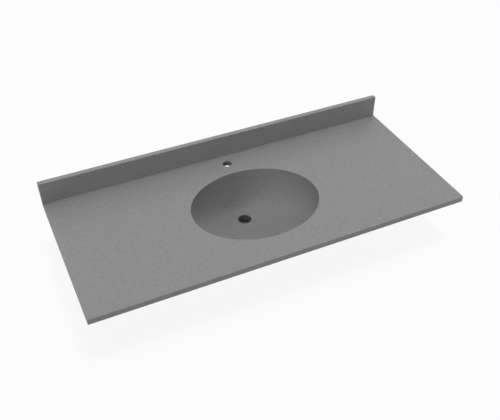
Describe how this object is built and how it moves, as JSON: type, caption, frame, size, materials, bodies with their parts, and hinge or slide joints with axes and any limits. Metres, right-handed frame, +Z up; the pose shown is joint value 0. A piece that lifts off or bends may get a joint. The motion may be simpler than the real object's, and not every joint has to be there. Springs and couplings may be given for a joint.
{
  "type": "vanity sink top",
  "caption": "Flat rectangular vanity top with a low backsplash, an oval basin bonded and clamped under its cut-out, a drain boss, an overflow duct and a faucet hole.",
  "frame": {"origin": "middle of the slab's outline in plan, in the plane of the slab's underside", "axes": "+X to the right seen from the front, +Y to the wall behind the backsplash, +Z up"},
  "size_m": [1.2446, 0.5588, 0.2422],
  "materials": {
    "solid_surface": "satin mid grey solid surface with fine mottled flecks",
    "colour_matched_adhesive": "matt grey bond line",
    "insert_brass": "turned yellow brass",
    "nut_brass": "cast and tumbled brass",
    "plated_steel": "zinc plated steel"
  },
  "bodies": {
    "root": {"deck": "solid_surface", "backsplash": "solid_surface", "backsplash_adhesive": "colour_matched_adhesive", "bowl": "solid_surface", "bowl_seam_adhesive": "colour_matched_adhesive", "overflow_duct": "solid_surface", "bowl_insert_1": "insert_brass", "bowl_stud_1": "plated_steel", "bowl_clip_1": "plated_steel", "bowl_washer_1": "plated_steel", "bowl_wing_nut_1": "nut_brass", "bowl_insert_2": "insert_brass", "bowl_stud_2": "plated_steel", "bowl_clip_2": "plated_steel", "bowl_washer_2": "plated_steel", "bowl_wing_nut_2": "nut_brass", "bowl_insert_3": "insert_brass", "bowl_stud_3": "plated_steel", "bowl_clip_3": "plated_steel", "bowl_washer_3": "plated_steel", "bowl_wing_nut_3": "nut_brass", "bowl_insert_4": "insert_brass", "bowl_stud_4": "plated_steel", "bowl_clip_4": "plated_steel", "bowl_washer_4": "plated_steel", "bowl_wing_nut_4": "nut_brass", "bowl_insert_5": "insert_brass", "bowl_stud_5": "plated_steel", "bowl_clip_5": "plated_steel", "bowl_washer_5": "plated_steel", "bowl_wing_nut_5": "nut_brass", "bowl_insert_6": "insert_brass", "bowl_stud_6": "plated_steel", "bowl_clip_6": "plated_steel", "bowl_washer_6": "plated_steel", "bowl_wing_nut_6": "nut_brass"}
  },
  "joints": []
}
